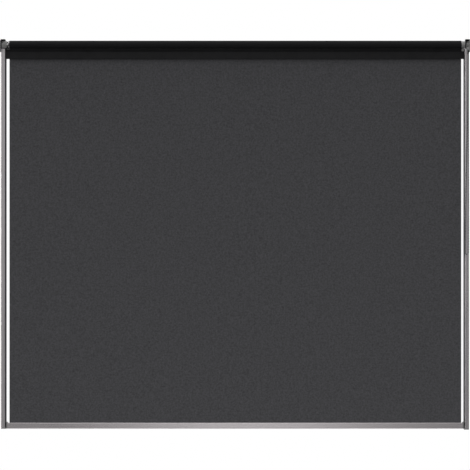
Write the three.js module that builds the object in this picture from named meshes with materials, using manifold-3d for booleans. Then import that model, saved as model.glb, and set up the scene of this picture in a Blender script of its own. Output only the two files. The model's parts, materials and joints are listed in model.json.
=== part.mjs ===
// A guided roller blind for a window opening: a chain-driven fabric roll between two brackets, a head bar,
// two side guides and a weighted bottom rail. Millimetres. +X runs right along the roller, the front faces
// -Y and +Z is up. The origin lies on the wall plane, behind the middle of the roller's axis.

import * as THREE from "three";
import { mergeVertices } from "three/addons/utils/BufferGeometryUtils.js";
import Module from "manifold-3d";

const wasm = await Module();
wasm.setup();

// Driving dimensions
const GAP = 0.3; // between pieces that touch
const AXIS_Y = -26.6; // the roller's axis, in front of the wall
const HEAD_TOP = 19.6; // top of the brackets above the axis
const GUIDE_OUT = 900; // outer face of a guide, from the middle
const GUIDE_LIP = 884.6; // inner edge of a guide's front flange
const GUIDE_BACK = 879.4; // inner edge of a guide's back flange
const GUIDE_DEPTH = 22;
const GUIDE_WALL = 1.6;
const GUIDE_TOP = -15.8;
const GUIDE_FOOT = { left: -1477.7, right: -1481 };
const FOOT_FLANGE = 3.3;
const TUBE_R = 14;
const TUBE_WALL = 1.2;
const TUBE_HALF = 871; // half the roller tube's length
const FABRIC_X = [-868, 870.6]; // the fabric's edges, nearer the bracket on the chain's side
const ROLL_R = 14.75; // two turns of fabric on the tube
const SLOT_HALF = 2.2; // half the width of the tube's fabric slot
const BAR_HALF = 880.8; // half the head bar's length
const BAR_TOP = -17.2;
const BAR_FOOT = -55.2;
const BAR_BACK = -13.4;
const BAR_FRONT = -21;
const RAIL_TOP = -1455.1;
const RAIL_FOOT = -1477.7;
const RAIL_HALF = 876.3; // half the bottom rail's length, without its caps
const RAIL_DEPTH = 9;
const CAP_OUT = 880.2;
const FABRIC_Y = -11.55; // middle of the hanging fabric
const FABRIC_T = 0.4;
const PLATE = 2.4; // bracket plate
const FLANGE = 16.8; // width of a bracket's flanges
const BRACKET_X = { left: -900, right: 885.6 };
const BRACKET_FRONT = -46;
const END_IN = GUIDE_OUT + GAP + 0.1; // inner face of an end plate
const END_OUT = 904.4; // its outer face
const SHAFT_END = GUIDE_OUT + 0.1; // outer end of the fixed pieces round the chain wheel
const CHAIN_X = 896; // the plane of the chain wheel
const CHAIN_D = 4.5;
const TEETH = 10; // the wheel's pockets, one for each bead at 6 mm pitch
const WHEEL_X = [892.4, 893.3, 898.7, 899.6]; // faces of the chain wheel's two flanges
const WHEEL_R = 11.4;
const GROOVE_R = 6.9;
const SLEEVE_R = 8.2; // the chain wheel's sleeve, which turns the drive plug
const CORE_R = 5.2; // the fixed shaft under that sleeve
const DRUM_R = 13.75; // chain guard and idle housing
const DRUM_BORE = 12.5;
const PIN_R = 4;
const IDLE_MOUTH = 877; // inner face of the idle housing
const RIM_X = TUBE_HALF + GAP; // where the plugs' collars start, outside the tube
const FIT = 0.1; // clearance round a pin that slides
const WALL_SCREWS = [-130, -735, -1340]; // heights of the screws in each guide
const SCREW_X = 892; // where they sit across the guide
const BRACKET_SCREWS = [-7, 10]; // heights of the screws in each bracket
const CEILING_SCREWS = [-16, -34]; // places of the holes in its top flange
const KEY_SCREW = { y: -10.5, z: -22 }; // from the end plate into the guide's key
const PEG = { y: -16.2, z: -38 }; // from the head bar's plug into that key
const SHOE_SCREW_Z = RAIL_TOP - 11;
const SCREW_HOLE = 2.2; // radius for a 4 mm screw
const AXIS_HOLE = 2.3;
const SMALL_HOLE = 1.8; // radius for a 3 mm screw
const BEND_FROM = 759.5; // distances along the chain where its pieces meet
const BEND_TO = 793;
const SPROCKET_FROM = 1569;

// Solids from closed geometry, and back
function toSolid(geometry) {
  const bare = geometry.clone();
  bare.deleteAttribute("normal");
  bare.deleteAttribute("uv");
  const merged = mergeVertices(bare, 1e-4);
  const vertProperties = new Float32Array(merged.attributes.position.array);
  const triVerts = new Uint32Array(merged.index.array);
  return new wasm.Manifold(new wasm.Mesh({ numProp: 3, vertProperties, triVerts }));
}

function toGeometry(solid) {
  const { vertProperties, triVerts } = solid.getMesh();
  const geometry = new THREE.BufferGeometry();
  geometry.setAttribute("position", new THREE.BufferAttribute(vertProperties, 3));
  geometry.setIndex(new THREE.BufferAttribute(triVerts, 1));
  geometry.computeVertexNormals();
  return geometry;
}

function join(...geometries) {
  return toGeometry(geometries.map(toSolid).reduce((a, b) => a.add(b)));
}

function cut(body, ...tools) {
  return toGeometry(tools.map(toSolid).reduce((a, b) => a.subtract(b), toSolid(body)));
}

// Basic forms, each placed in the part's frame
function box([x0, x1], [y0, y1], [z0, z1]) {
  const geometry = new THREE.BoxGeometry(x1 - x0, y1 - y0, z1 - z0);
  return geometry.translate((x0 + x1) / 2, (y0 + y1) / 2, (z0 + z1) / 2);
}

function extrude(shape, length, curveSegments = 4) {
  return new THREE.ExtrudeGeometry(shape, { depth: length, bevelEnabled: false, curveSegments });
}

function basis(x, y, z) {
  const [first, second, third] = [x, y, z].map((axis) => new THREE.Vector3(...axis));
  return new THREE.Matrix4().makeBasis(first, second, third);
}

// A (y, z) outline drawn out along X from x0 to x1
function alongX(shape, x0, x1, curveSegments) {
  const geometry = extrude(shape, x1 - x0, curveSegments);
  return geometry.applyMatrix4(basis([0, 1, 0], [0, 0, 1], [1, 0, 0])).translate(x0, 0, 0);
}

// An (x, z) outline drawn out along Y from y0 to y1
function alongY(shape, y0, y1, curveSegments) {
  const geometry = extrude(shape, y1 - y0, curveSegments);
  return geometry.applyMatrix4(basis([1, 0, 0], [0, 0, 1], [0, -1, 0])).translate(0, y1, 0);
}

// An (x, y) outline drawn out along Z from z0 to z1
function alongZ(shape, z0, z1, curveSegments) {
  return extrude(shape, z1 - z0, curveSegments).translate(0, 0, z0);
}

// Twice the signed area inside a closed run of [a, b] points, positive when it runs counterclockwise
function turning(points) {
  return points.reduce((sum, [a, b], i) => {
    const [nextA, nextB] = points[(i + 1) % points.length];
    return sum + a * nextB - nextA * b;
  }, 0);
}

// A closed counterclockwise outline through [a, b] or [a, b, radius] corners
function outline(given) {
  const corners = turning(given) > 0 ? given : given.toReversed();
  const shape = new THREE.Shape();
  const count = corners.length;
  corners.forEach(([a, b, radius = 0], i) => {
    const corner = new THREE.Vector2(a, b);
    const before = new THREE.Vector2(...corners[(i + count - 1) % count]);
    const after = new THREE.Vector2(...corners[(i + 1) % count]);
    const start = before.sub(corner).setLength(radius).add(corner);
    const end = after.sub(corner).setLength(radius).add(corner);
    if (i === 0) shape.moveTo(start.x, start.y);
    else shape.lineTo(start.x, start.y);
    if (radius > 0) shape.quadraticCurveTo(a, b, end.x, end.y);
  });
  shape.closePath();
  return shape;
}

// A profile of [x, r] points turned about the roller's axis
function turned(profile, sides = 32) {
  const ordered = turning(profile) < 0 ? profile : profile.toReversed();
  const points = ordered.map(([x, r]) => new THREE.Vector2(r, x));
  if (points[0].x > 0) points.push(points[0].clone());
  const geometry = new THREE.LatheGeometry(points, sides);
  return geometry.applyMatrix4(basis([0, 1, 0], [1, 0, 0], [0, 0, -1])).translate(0, AXIS_Y, 0);
}

// A round bar along X, for holes and pegs
function barX(radius, [x0, x1], y = AXIS_Y, z = 0, sides = 16) {
  const geometry = new THREE.CylinderGeometry(radius, radius, x1 - x0, sides);
  return geometry.rotateZ(-Math.PI / 2).translate((x0 + x1) / 2, y, z);
}

function barY(radius, [y0, y1], x, z, sides = 16) {
  const geometry = new THREE.CylinderGeometry(radius, radius, y1 - y0, sides);
  return geometry.translate(x, (y0 + y1) / 2, z);
}

function barZ(radius, [z0, z1], x, y, sides = 16) {
  const geometry = new THREE.CylinderGeometry(radius, radius, z1 - z0, sides).rotateX(Math.PI / 2);
  return geometry.translate(x, y, (z0 + z1) / 2);
}

// A screw with its shank down from the origin along -Z and a domed head above
function screwForm(shankR, shankLength, headR, headHeight) {
  const profile = [
    [0, -shankLength],
    [shankR, -shankLength],
    [shankR, 0],
    [headR, 0],
    [headR, headHeight * 0.45],
    [headR * 0.62, headHeight],
    [0, headHeight],
  ];
  const geometry = new THREE.LatheGeometry(profile.map(([r, h]) => new THREE.Vector2(r, h)), 10);
  return geometry.rotateX(Math.PI / 2);
}

// Colours
const looks = {
  anodised: { color: 0x8f8d90, roughness: 0.42, metalness: 0.9 },
  rail: { color: 0xa3a1a0, roughness: 0.38, metalness: 0.9 },
  black: { color: 0x1c1c1d, roughness: 0.5, metalness: 0.2 },
  greyPlastic: { color: 0x858688, roughness: 0.45, metalness: 0.1 },
  fabric: { color: 0x3b3b3d, roughness: 0.95, metalness: 0 },
  backing: { color: 0x141416, roughness: 0.85, metalness: 0 },
  steel: { color: 0x9a9a9c, roughness: 0.3, metalness: 1 },
  chain: { color: 0x8a8a8c, roughness: 0.4, metalness: 0.3 },
  darkPlastic: { color: 0x222224, roughness: 0.6, metalness: 0 },
};

function piece(name, geometry, look) {
  const mesh = new THREE.Mesh(geometry, new THREE.MeshStandardMaterial(looks[look]));
  mesh.name = name;
  return mesh;
}

const part = new THREE.Group();
const SIDES = ["left", "right"];
const hand = { left: -1, right: 1 };

// A group in which +X always points outwards, so that paired pieces are drawn once
function sideGroup(side) {
  const group = new THREE.Group();
  group.scale.x = hand[side];
  part.add(group);
  return group;
}

// A screw through a wall of that thickness into what is behind the blind, with its head towards the front
function wallScrew(name, wall, x, z) {
  const screw = piece(name, screwForm(1.9, wall + 0.1, 3.6, 2), "steel");
  screw.rotation.x = Math.PI / 2;
  screw.position.set(x, -wall - 0.3, z);
  return screw;
}

// A screw along X with its head outwards
function sideScrew(name, form, x, y, z) {
  const screw = piece(name, form, "steel");
  screw.rotation.y = Math.PI / 2;
  screw.position.set(x, y, z);
  return screw;
}

// Carrier rail: a shallow channel on the wall behind the roll, between the brackets
function carrierRail() {
  const shape = outline([
    [0, -12],
    [0, 12],
    [-5.5, 12, 0.8],
    [-5.5, 10.4],
    [-2, 10.4],
    [-2, -10.4],
    [-5.5, -10.4],
    [-5.5, -12, 0.8],
  ]);
  const left = BRACKET_X.left + FLANGE + GAP;
  return alongX(shape, left, BRACKET_X.right - GAP, 2);
}

function flangeMiddle(side) {
  return BRACKET_X[side] + FLANGE / 2 + 1;
}

// Bracket: side plate, ceiling flange and wall flange. Both ends use the same hand.
function bracket(side) {
  const x0 = BRACKET_X[side];
  const plateShape = outline([
    [0, -15.2],
    [0, HEAD_TOP],
    [BRACKET_FRONT, HEAD_TOP],
    [BRACKET_FRONT, 2, 6],
    [-36, -15.2, 8],
  ]);
  const plate = alongX(plateShape, x0, x0 + PLATE, 8);
  const top = box([x0 + 0.5, x0 + FLANGE], [BRACKET_FRONT, 0], [HEAD_TOP - PLATE, HEAD_TOP]);
  const back = box([x0 + 0.5, x0 + FLANGE], [-PLATE, 0], [-15.2, HEAD_TOP - 0.5]);
  const across = [x0 - 1, x0 + PLATE + 1];
  const axisHole = barX(side === "left" ? AXIS_HOLE : SLEEVE_R + 1.2, across, AXIS_Y, 0, 24);
  const middle = flangeMiddle(side);
  const ceilingHoles = CEILING_SCREWS.map((y) => barZ(SCREW_HOLE, [HEAD_TOP - 4, HEAD_TOP + 1], middle, y));
  const wallHoles = BRACKET_SCREWS.map((z) => barY(SCREW_HOLE, [-PLATE - 1, 1], middle, z));
  return cut(join(plate, top, back), axisHole, ...ceilingHoles, ...wallHoles);
}

// End plate: the rounded cover outside a bracket, which also holds the guide
function endPlate() {
  const shape = outline([
    [-2.8, -28.5, 3],
    [-2.8, 16.8, 1],
    [-45, 16.8, 5],
    [-45, -8, 14],
    [-25, -28.5, 12],
  ]);
  const body = alongX(shape, END_IN, END_OUT - 0.9, 8);
  const rim = outline([
    [-3.7, -27.6, 2.4],
    [-3.7, 15.9, 1],
    [-44.1, 15.9, 4.4],
    [-44.1, -7.6, 13.4],
    [-25.4, -27.6, 11.4],
  ]);
  const crown = alongX(rim, END_OUT - 1.2, END_OUT, 8);
  const through = [END_IN - 1, END_OUT + 1];
  const sunk = [END_OUT - 1.8, END_OUT + 1];
  const holes = [barX(AXIS_HOLE, through), barX(SMALL_HOLE, through, KEY_SCREW.y, KEY_SCREW.z)];
  const sinks = [barX(4.1, sunk), barX(3.4, sunk, KEY_SCREW.y, KEY_SCREW.z)];
  return cut(join(body, crown), ...holes, ...sinks);
}

// Side guide: an aluminium channel, open towards the fabric, with a longer back flange
function guide(side) {
  const front = -GUIDE_DEPTH;
  const web = GUIDE_OUT - GUIDE_WALL;
  const shape = outline([
    [GUIDE_OUT, 0],
    [GUIDE_BACK, 0],
    [GUIDE_BACK, -3.4],
    [GUIDE_BACK + 1.4, -3.4],
    [GUIDE_BACK + 1.4, -GUIDE_WALL],
    [web, -GUIDE_WALL],
    [web, front + GUIDE_WALL],
    [GUIDE_LIP + 1.4, front + GUIDE_WALL],
    [GUIDE_LIP + 1.4, front + 3.4],
    [GUIDE_LIP, front + 3.4],
    [GUIDE_LIP, front, 0.9],
    [GUIDE_OUT, front, 1.4],
  ]);
  const body = alongZ(shape, GUIDE_FOOT[side] + FOOT_FLANGE + GAP, GUIDE_TOP, 3);
  const wallHoles = WALL_SCREWS.map((z) => barY(SCREW_HOLE, [-3, 1], SCREW_X, z));
  const keyHole = barX(SMALL_HOLE, [web - 3, GUIDE_OUT + 5], KEY_SCREW.y, KEY_SCREW.z);
  return cut(body, ...wallHoles, keyHole);
}

// Seal strip: dark pile strip on the guide's back flange, beside the opening
function sealStrip(side) {
  const foot = GUIDE_FOOT[side] + FOOT_FLANGE + 1;
  return box([GUIDE_BACK + 1.7, 885.6], [-3.3, -1.9], [foot, GUIDE_TOP - 1]);
}

// Foot plug: closes the lower end of a guide, below the guide shoe's rest place
function footPlug(side) {
  const foot = GUIDE_FOOT[side];
  const flange = outline([
    [GUIDE_OUT, 0, 0.8],
    [CAP_OUT + 0.8, 0, 0.8],
    [CAP_OUT + 0.8, -GUIDE_DEPTH, 1.6],
    [GUIDE_OUT, -GUIDE_DEPTH, 1.6],
  ]);
  const shelf = alongZ(flange, foot, foot + FOOT_FLANGE, 3);
  const insert = box([887, 898], [-20, -4.4], [foot + FOOT_FLANGE - 0.5, RAIL_FOOT + 7]);
  return join(shelf, insert);
}

// Guide key: the block in the top of a guide that takes the end plate's screw and the head bar's peg
function guideKey() {
  const body = box([887, 897.9], [-20, -4.2], [-46, GUIDE_TOP - 0.6]);
  const screwHole = barX(SMALL_HOLE, [889, GUIDE_OUT], KEY_SCREW.y, KEY_SCREW.z);
  const pegHole = barX(2.3, [885, 892], PEG.y, PEG.z, 16);
  return cut(body, screwHole, pegHole);
}

// Head bar: hollow bar in front of the fabric, set back at the top to clear a full roll
function headBar() {
  const shape = outline([
    [BAR_BACK, BAR_TOP],
    [-16.2, BAR_TOP, 0.8],
    [-16.2, -22.5, 1],
    [BAR_FRONT, -27, 1.5],
    [BAR_FRONT, BAR_FOOT, 1.2],
    [BAR_BACK, BAR_FOOT, 0.6],
  ]);
  shape.holes.push(outline([
    [BAR_BACK - 1.4, -29],
    [BAR_BACK - 1.4, BAR_FOOT + 1.4],
    [BAR_FRONT + 1.4, BAR_FOOT + 1.4],
    [BAR_FRONT + 1.4, -29],
  ]));
  return alongX(shape, -BAR_HALF, BAR_HALF, 3);
}

// Head bar plug: closes the bar, pegs into the guide's key and carries a light stop beside the roll. On the
// left a fin rises from that stop into the gap beside the idle pin.
function headBarPlug(side) {
  const tenon = box([866, 881.4], [-19.2, -15.2], [-52.1, -29.4]);
  const plate = box([BAR_HALF + GAP, 883.9], [-20.4, BAR_BACK], [BAR_FOOT, -27.5]);
  const stopDepth = [-15.9, BAR_BACK];
  const stopTop = -10.6;
  const stem = box([BAR_HALF + GAP, 883.9], stopDepth, [-28, stopTop]);
  const lightStop = box([866, 883.9], stopDepth, [BAR_TOP + GAP, stopTop]);
  const plug = join(tenon, plate, stem, lightStop, barX(2, [883, 891], PEG.y, PEG.z, 16));
  if (side === "right") {
    return plug;
  }
  return join(plug, box([873.3, IDLE_MOUTH - 0.4], stopDepth, [stopTop - 0.4, -4.6]));
}

// Clip that hooks over the head bar's right end
function barClip() {
  const [back, front] = [-16.2, -23.6];
  const [top, foot] = [-14.3, -25.5];
  const hook = outline([
    [back, top, 0.8],
    [back, BAR_TOP + GAP],
    [BAR_FRONT - GAP, BAR_TOP + GAP],
    [BAR_FRONT - GAP, foot],
    [front, foot, 0.8],
    [front, top, 0.8],
  ]);
  return alongX(hook, 871.7, 880.7, 3);
}

// Roller tube with a slot along it for the fabric's spline
function slottedCircle(radius, halfWidth, depth, centreY = AXIS_Y) {
  const shape = new THREE.Shape();
  const angle = Math.asin(halfWidth / radius);
  const up = Math.PI / 2;
  shape.moveTo(centreY - halfWidth, radius - depth);
  shape.lineTo(centreY - halfWidth, radius * Math.cos(angle));
  shape.absarc(centreY, 0, radius, up + angle, up - angle + 2 * Math.PI, false);
  shape.lineTo(centreY + halfWidth, radius - depth);
  shape.closePath();
  return shape;
}

function rollerTube() {
  const shape = slottedCircle(TUBE_R, SLOT_HALF, 2.8);
  shape.holes.push(slottedCircle(TUBE_R - TUBE_WALL, SLOT_HALF + 1.1, 2.8));
  return alongX(shape, -TUBE_HALF, TUBE_HALF, 24);
}

// The spline strip that traps the fabric's top edge in the tube's slot
function tubeSpline() {
  const half = SLOT_HALF - GAP;
  return box(FABRIC_X, [AXIS_Y - half, AXIS_Y + half], [11.6, 13.3]);
}

function fabricRoll() {
  const [left, right] = FABRIC_X;
  return turned([
    [left, ROLL_R],
    [right, ROLL_R],
    [right, TUBE_R + 0.08],
    [left, TUBE_R + 0.08],
  ], 48);
}

// Plugs in the ends of the tube share its inner form
function plugBody(x0, x1) {
  const inner = TUBE_R - TUBE_WALL - GAP;
  return alongX(slottedCircle(inner, SLOT_HALF + 1.1 + GAP, 2.8), x0, x1, 18);
}

// Drive plug: pressed in the tube's right end, turned by the sprocket's sleeve
function drivePlug() {
  const bore = barX(SLEEVE_R + 0.4, [820, 890], AXIS_Y, 0, 32);
  const collar = turned([
    [RIM_X, 0],
    [RIM_X, 13],
    [884.3, 13],
    [885.1, 12.2],
    [885.1, 0],
  ], 48);
  return cut(join(plugBody(826, TUBE_HALF + 0.8), collar), bore);
}

// Clutch core: the fixed shaft that the sprocket turns on, held by the end plate's screw
function clutchCore() {
  return turned([
    [832, 0],
    [832, CORE_R - 1],
    [833, CORE_R],
    [SHAFT_END, CORE_R],
    [SHAFT_END, AXIS_HOLE],
    [887, AXIS_HOLE],
    [887, 0],
  ], 24);
}

class Helix extends THREE.Curve {
  constructor(radius, x0, x1, turns) {
    super();
    Object.assign(this, { radius, x0, x1, turns });
  }

  getPoint(t, target = new THREE.Vector3()) {
    const angle = 2 * Math.PI * this.turns * t;
    const y = AXIS_Y + this.radius * Math.cos(angle);
    return target.set(this.x0 + (this.x1 - this.x0) * t, y, this.radius * Math.sin(angle));
  }
}

function coil(radius, wireR, x0, x1, turns, stepsPerTurn = 8) {
  const wire = new THREE.Shape().absarc(0, 0, wireR, 0, 2 * Math.PI);
  const extrudePath = new Helix(radius, x0, x1, turns);
  const steps = turns * stepsPerTurn;
  return new THREE.ExtrudeGeometry(wire, { steps, extrudePath, curveSegments: 3 });
}

// Sprocket: a grooved chain wheel with notched flanges and the sleeve that drives the plug
function sprocket() {
  const wheel = turned([
    [850, SLEEVE_R],
    [WHEEL_X[0], SLEEVE_R],
    [WHEEL_X[0], WHEEL_R],
    [WHEEL_X[1], WHEEL_R],
    [WHEEL_X[1], GROOVE_R],
    [WHEEL_X[2], GROOVE_R],
    [WHEEL_X[2], WHEEL_R],
    [WHEEL_X[3], WHEEL_R],
    [WHEEL_X[3], CORE_R + 0.4],
    [880, CORE_R + 0.4],
    [880, 7.4],
    [850, 7.4],
  ], 30);
  const notchR = WHEEL_R + 0.8;
  const notches = Array.from({ length: TEETH }, (_, i) => {
    const angle = (2 * Math.PI * i) / TEETH;
    const y = AXIS_Y + notchR * Math.cos(angle);
    return barX(1.7, [890, 902], y, notchR * Math.sin(angle), 6);
  });
  return cut(wheel, ...notches);
}

// Chain guard: the grey drum round the sprocket, with a chute that brings both strands to the front
function chainGuard() {
  const [x0, x1] = [BRACKET_X.right + PLATE + GAP, SHAFT_END];
  const drum = turned([
    [x0, DRUM_BORE],
    [x0, DRUM_R],
    [x1, DRUM_R],
    [x1, DRUM_BORE],
  ], 48);
  const chute = box([890, x1], [-39.9, -16.2], [-15.2, -8.4]);
  const lip = box([890, x1], [-39.9, -22.3], [-21.4, -15]);
  const throat = box([891.2, 898.9], [-38.8, -17.4], [-23, -0.5]);
  const inside = barX(DRUM_BORE, [x0 - 1, x1 + 1], AXIS_Y, 0, 48);
  return cut(join(drum, chute, lip), inside, throat);
}

// Idle side, drawn outwards: the fixed housing, the plug in the tube and the pin between them
function idleHousing() {
  const back = GUIDE_OUT - PLATE - GAP;
  return turned([
    [back, AXIS_HOLE],
    [back, DRUM_R - 0.8],
    [back - 0.8, DRUM_R],
    [IDLE_MOUTH + 0.8, DRUM_R],
    [IDLE_MOUTH, DRUM_R - 0.8],
    [IDLE_MOUTH, PIN_R + FIT],
    [888, PIN_R + FIT],
    [888, 0],
    [890.5, 0],
    [890.5, AXIS_HOLE],
  ], 48);
}

function idlePlug() {
  const bore = turned([
    [836, 0],
    [836, 8],
    [860, 8],
    [860, PIN_R + FIT],
    [890, PIN_R + FIT],
    [890, 0],
  ], 32);
  const rim = turned([
    [RIM_X, 0],
    [RIM_X, 13.4],
    [872.1, 13.4],
    [872.7, 12.8],
    [872.7, 0],
  ], 48);
  return cut(join(plugBody(831, TUBE_HALF + 0.8), rim), bore);
}

function idlePin() {
  return turned([
    [848, 0],
    [848, 2.5],
    [858, 2.5],
    [858, 7.4],
    [859.7, 7.4],
    [859.7, PIN_R],
    [885.8, PIN_R],
    [886.6, PIN_R - 0.9],
    [886.6, 0],
  ], 28);
}

// Bottom rail: hollow extrusion with a fabric slot above and a weight chamber below
function bottomRail() {
  const [front, back] = [FABRIC_Y - RAIL_DEPTH / 2, FABRIC_Y + RAIL_DEPTH / 2];
  const slot = 0.8;
  const shape = outline([
    [back, RAIL_FOOT, 2.2],
    [back, RAIL_TOP, 1.2],
    [FABRIC_Y + slot, RAIL_TOP],
    [FABRIC_Y + slot, RAIL_TOP - 1.6],
    [back - 1.2, RAIL_TOP - 1.6],
    [back - 1.2, RAIL_TOP - 7],
    [front + 1.2, RAIL_TOP - 7],
    [front + 1.2, RAIL_TOP - 1.6],
    [FABRIC_Y - slot, RAIL_TOP - 1.6],
    [FABRIC_Y - slot, RAIL_TOP],
    [front, RAIL_TOP, 1.2],
    [front, RAIL_FOOT, 2.2],
  ]);
  shape.holes.push(outline([
    [back - 1.2, RAIL_FOOT + 2],
    [back - 1.2, RAIL_TOP - 8.4],
    [front + 1.2, RAIL_TOP - 8.4],
    [front + 1.2, RAIL_FOOT + 2],
  ]));
  return alongX(shape, -RAIL_HALF, RAIL_HALF, 3);
}

function weightBar() {
  return box([-864, 864], [FABRIC_Y - 2.6, FABRIC_Y + 2.6], [RAIL_FOOT + 2.4, RAIL_FOOT + 14]);
}

// The strip that clamps the fabric's lower edge in the rail's upper chamber
function hemSpline() {
  return box([-862, 862], [FABRIC_Y + 0.7, FABRIC_Y + 2.9], [RAIL_TOP - 6.6, RAIL_TOP - 2]);
}

function endCap() {
  const half = RAIL_DEPTH / 2 - 0.3;
  const [front, back] = [FABRIC_Y - half, FABRIC_Y + half];
  const face = outline([
    [RAIL_HALF + GAP, RAIL_TOP + GAP],
    [RAIL_HALF + GAP, RAIL_FOOT + GAP],
    [CAP_OUT, RAIL_FOOT + GAP, 1],
    [CAP_OUT, RAIL_TOP + 5.3],
    [CAP_OUT - 1.4, RAIL_TOP + 5.3],
    [872.2, RAIL_TOP + 0.9],
    [872.2, RAIL_TOP + GAP],
  ]);
  const plate = alongY(face, front, back, 3);
  const tenonDepth = [FABRIC_Y - 2.9, FABRIC_Y + 2.9];
  const tenon = box([866, RAIL_HALF + 1], tenonDepth, [RAIL_FOOT + 2.4, RAIL_TOP - 8.8]);
  return cut(join(plate, tenon), barX(SMALL_HOLE, [865, 885], FABRIC_Y, SHOE_SCREW_Z, 12));
}

// Guide shoe: slides in the guide and is screwed to the end cap
function guideShoe() {
  const body = outline([
    [CAP_OUT + GAP, -8.2, 0.6],
    [896, -8.2, 2.4],
    [896, -14.9, 2.4],
    [CAP_OUT + GAP, -14.9, 0.6],
  ]);
  const shoe = alongZ(body, RAIL_TOP - 14.8, RAIL_TOP - 2, 3);
  const hole = barX(SMALL_HOLE, [879, 897], FABRIC_Y, SHOE_SCREW_Z, 12);
  const sink = barX(3.1, [893, 897], FABRIC_Y, SHOE_SCREW_Z, 16);
  return cut(shoe, hole, sink);
}

// Hanging fabric, from the back of the roll into the bottom rail's slot
function fabricDrop() {
  const depth = [FABRIC_Y - FABRIC_T / 2, FABRIC_Y + FABRIC_T / 2];
  return box(FABRIC_X, depth, [RAIL_TOP - 4.6, -1]);
}

// The bead chain's route: down the front strand from the connector, round the bottom, up the rear strand,
// over the sprocket and down to the connector again
const CHAIN_ROUTE = [
  [896, -36.2, -36.6],
  [896, -36.2, -80],
  [895, -36, -180],
  [893, -35.5, -300],
  [890, -34, -430],
  [887.5, -31.5, -560],
  [886, -29.5, -680],
  [885, -28.5, -796],
  [885.5, -28.5, -802],
  [888, -28.5, -805.8],
  [891.3, -28.5, -807],
  [894.6, -28.5, -805.8],
  [897, -28.5, -802],
  [897.5, -28.5, -796],
  [898, -28.3, -680],
  [898, -27.3, -560],
  [897.5, -26, -430],
  [896.5, -25.3, -300],
  [895.5, -25.3, -180],
  [896, -25.8, -80],
  [896, -26, -16],
  [896, -18.7, -5.5],
  [896, -17.1, 0],
  [896, -18.4, 5],
  [896, -21.8, 8.3],
  [896, -26.6, 9.6],
  [896, -31.4, 8.3],
  [896, -34.8, 5],
  [896, -36.2, -2],
  [896, -36.2, -24.2],
];
const chainCurve = new THREE.CatmullRomCurve3(CHAIN_ROUTE.map((p) => new THREE.Vector3(...p)));
chainCurve.arcLengthDivisions = 2000;

// One stretch of the chain's route, between two distances along it
class Stretch extends THREE.Curve {
  constructor(whole, from, to) {
    super();
    Object.assign(this, { whole, from, to });
  }

  getPoint(t, target) {
    const along = this.from + (this.to - this.from) * t;
    return this.whole.getPointAt(along / this.whole.getLength(), target);
  }
}

function chainStretch(from, to, steps) {
  const section = new THREE.Shape().absarc(0, 0, CHAIN_D / 2, 0, 2 * Math.PI);
  const extrudePath = new Stretch(chainCurve, from, to);
  return new THREE.ExtrudeGeometry(section, { steps, extrudePath, curveSegments: 4 });
}

function chainConnector() {
  const geometry = new THREE.LatheGeometry([
    [0, -36.3],
    [2.2, -36.3],
    [3, -35.3],
    [3, -25.5],
    [2.2, -24.5],
    [0, -24.5],
  ].map(([r, z]) => new THREE.Vector2(r, z)), 12);
  return geometry.rotateX(Math.PI / 2).translate(CHAIN_X, -36.2, 0);
}

// Assembly: frame
part.add(piece("carrier_rail", carrierRail(), "anodised"));
part.add(piece("head_bar", headBar(), "black"));
part.add(piece("clutch_core", clutchCore(), "darkPlastic"));
part.add(piece("chain_guard", chainGuard(), "greyPlastic"));
part.add(piece("bar_clip", barClip(), "greyPlastic"));
for (const side of SIDES) {
  part.add(piece(`bracket_${side}`, bracket(side), "black"));
  BRACKET_SCREWS.forEach((z, i) => {
    const name = `bracket_screw_${side}_${i + 1}`;
    part.add(wallScrew(name, PLATE, flangeMiddle(side), z));
  });
  const group = sideGroup(side);
  group.add(piece(`end_plate_${side}`, endPlate(), "greyPlastic"));
  group.add(piece(`guide_${side}`, guide(side), "anodised"));
  group.add(piece(`seal_strip_${side}`, sealStrip(side), "darkPlastic"));
  group.add(piece(`foot_plug_${side}`, footPlug(side), "greyPlastic"));
  group.add(piece(`guide_key_${side}`, guideKey(), "darkPlastic"));
  group.add(piece(`head_bar_plug_${side}`, headBarPlug(side), "darkPlastic"));
  WALL_SCREWS.forEach((z, i) => {
    group.add(wallScrew(`guide_screw_${side}_${i + 1}`, GUIDE_WALL, SCREW_X, z));
  });
  const plateHead = END_OUT - 1.5;
  group.add(sideScrew(`axis_screw_${side}`, screwForm(1.9, 11, 3.7, 1.4), plateHead, AXIS_Y, 0));
  const keyForm = screwForm(1.5, 11, 3, 1.4);
  group.add(sideScrew(`key_screw_${side}`, keyForm, plateHead, KEY_SCREW.y, KEY_SCREW.z));

  // bottom rail's end pieces
  group.add(piece(`end_cap_${side}`, endCap(), "greyPlastic"));
  group.add(piece(`guide_shoe_${side}`, guideShoe(), "darkPlastic"));
  const shoeForm = screwForm(1.5, 24, 2.8, 1.8);
  group.add(sideScrew(`shoe_screw_${side}`, shoeForm, 893.3, FABRIC_Y, SHOE_SCREW_Z));
  if (side === "left") {
    group.add(piece("idle_housing", idleHousing(), "greyPlastic"));
    group.add(piece("idle_plug", idlePlug(), "darkPlastic"));
    group.add(piece("idle_pin", idlePin(), "steel"));
    group.add(piece("idle_spring", coil(5.6, 0.45, 836.8, 857.2, 6), "steel"));
  }
}

// Assembly: roller and drive
part.add(piece("roller_tube", rollerTube(), "anodised"));
part.add(piece("tube_spline", tubeSpline(), "darkPlastic"));
part.add(piece("fabric_roll", fabricRoll(), "backing"));
part.add(piece("drive_plug", drivePlug(), "greyPlastic"));
part.add(piece("sprocket", sprocket(), "darkPlastic"));
part.add(piece("wrap_spring", coil(6.2, 0.45, 852, 876, 7), "steel"));

// Assembly: bottom rail and fabric
part.add(piece("bottom_rail", bottomRail(), "rail"));
part.add(piece("weight_bar", weightBar(), "steel"));
part.add(piece("hem_spline", hemSpline(), "darkPlastic"));
part.add(piece("fabric_drop", fabricDrop(), "fabric"));

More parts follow.
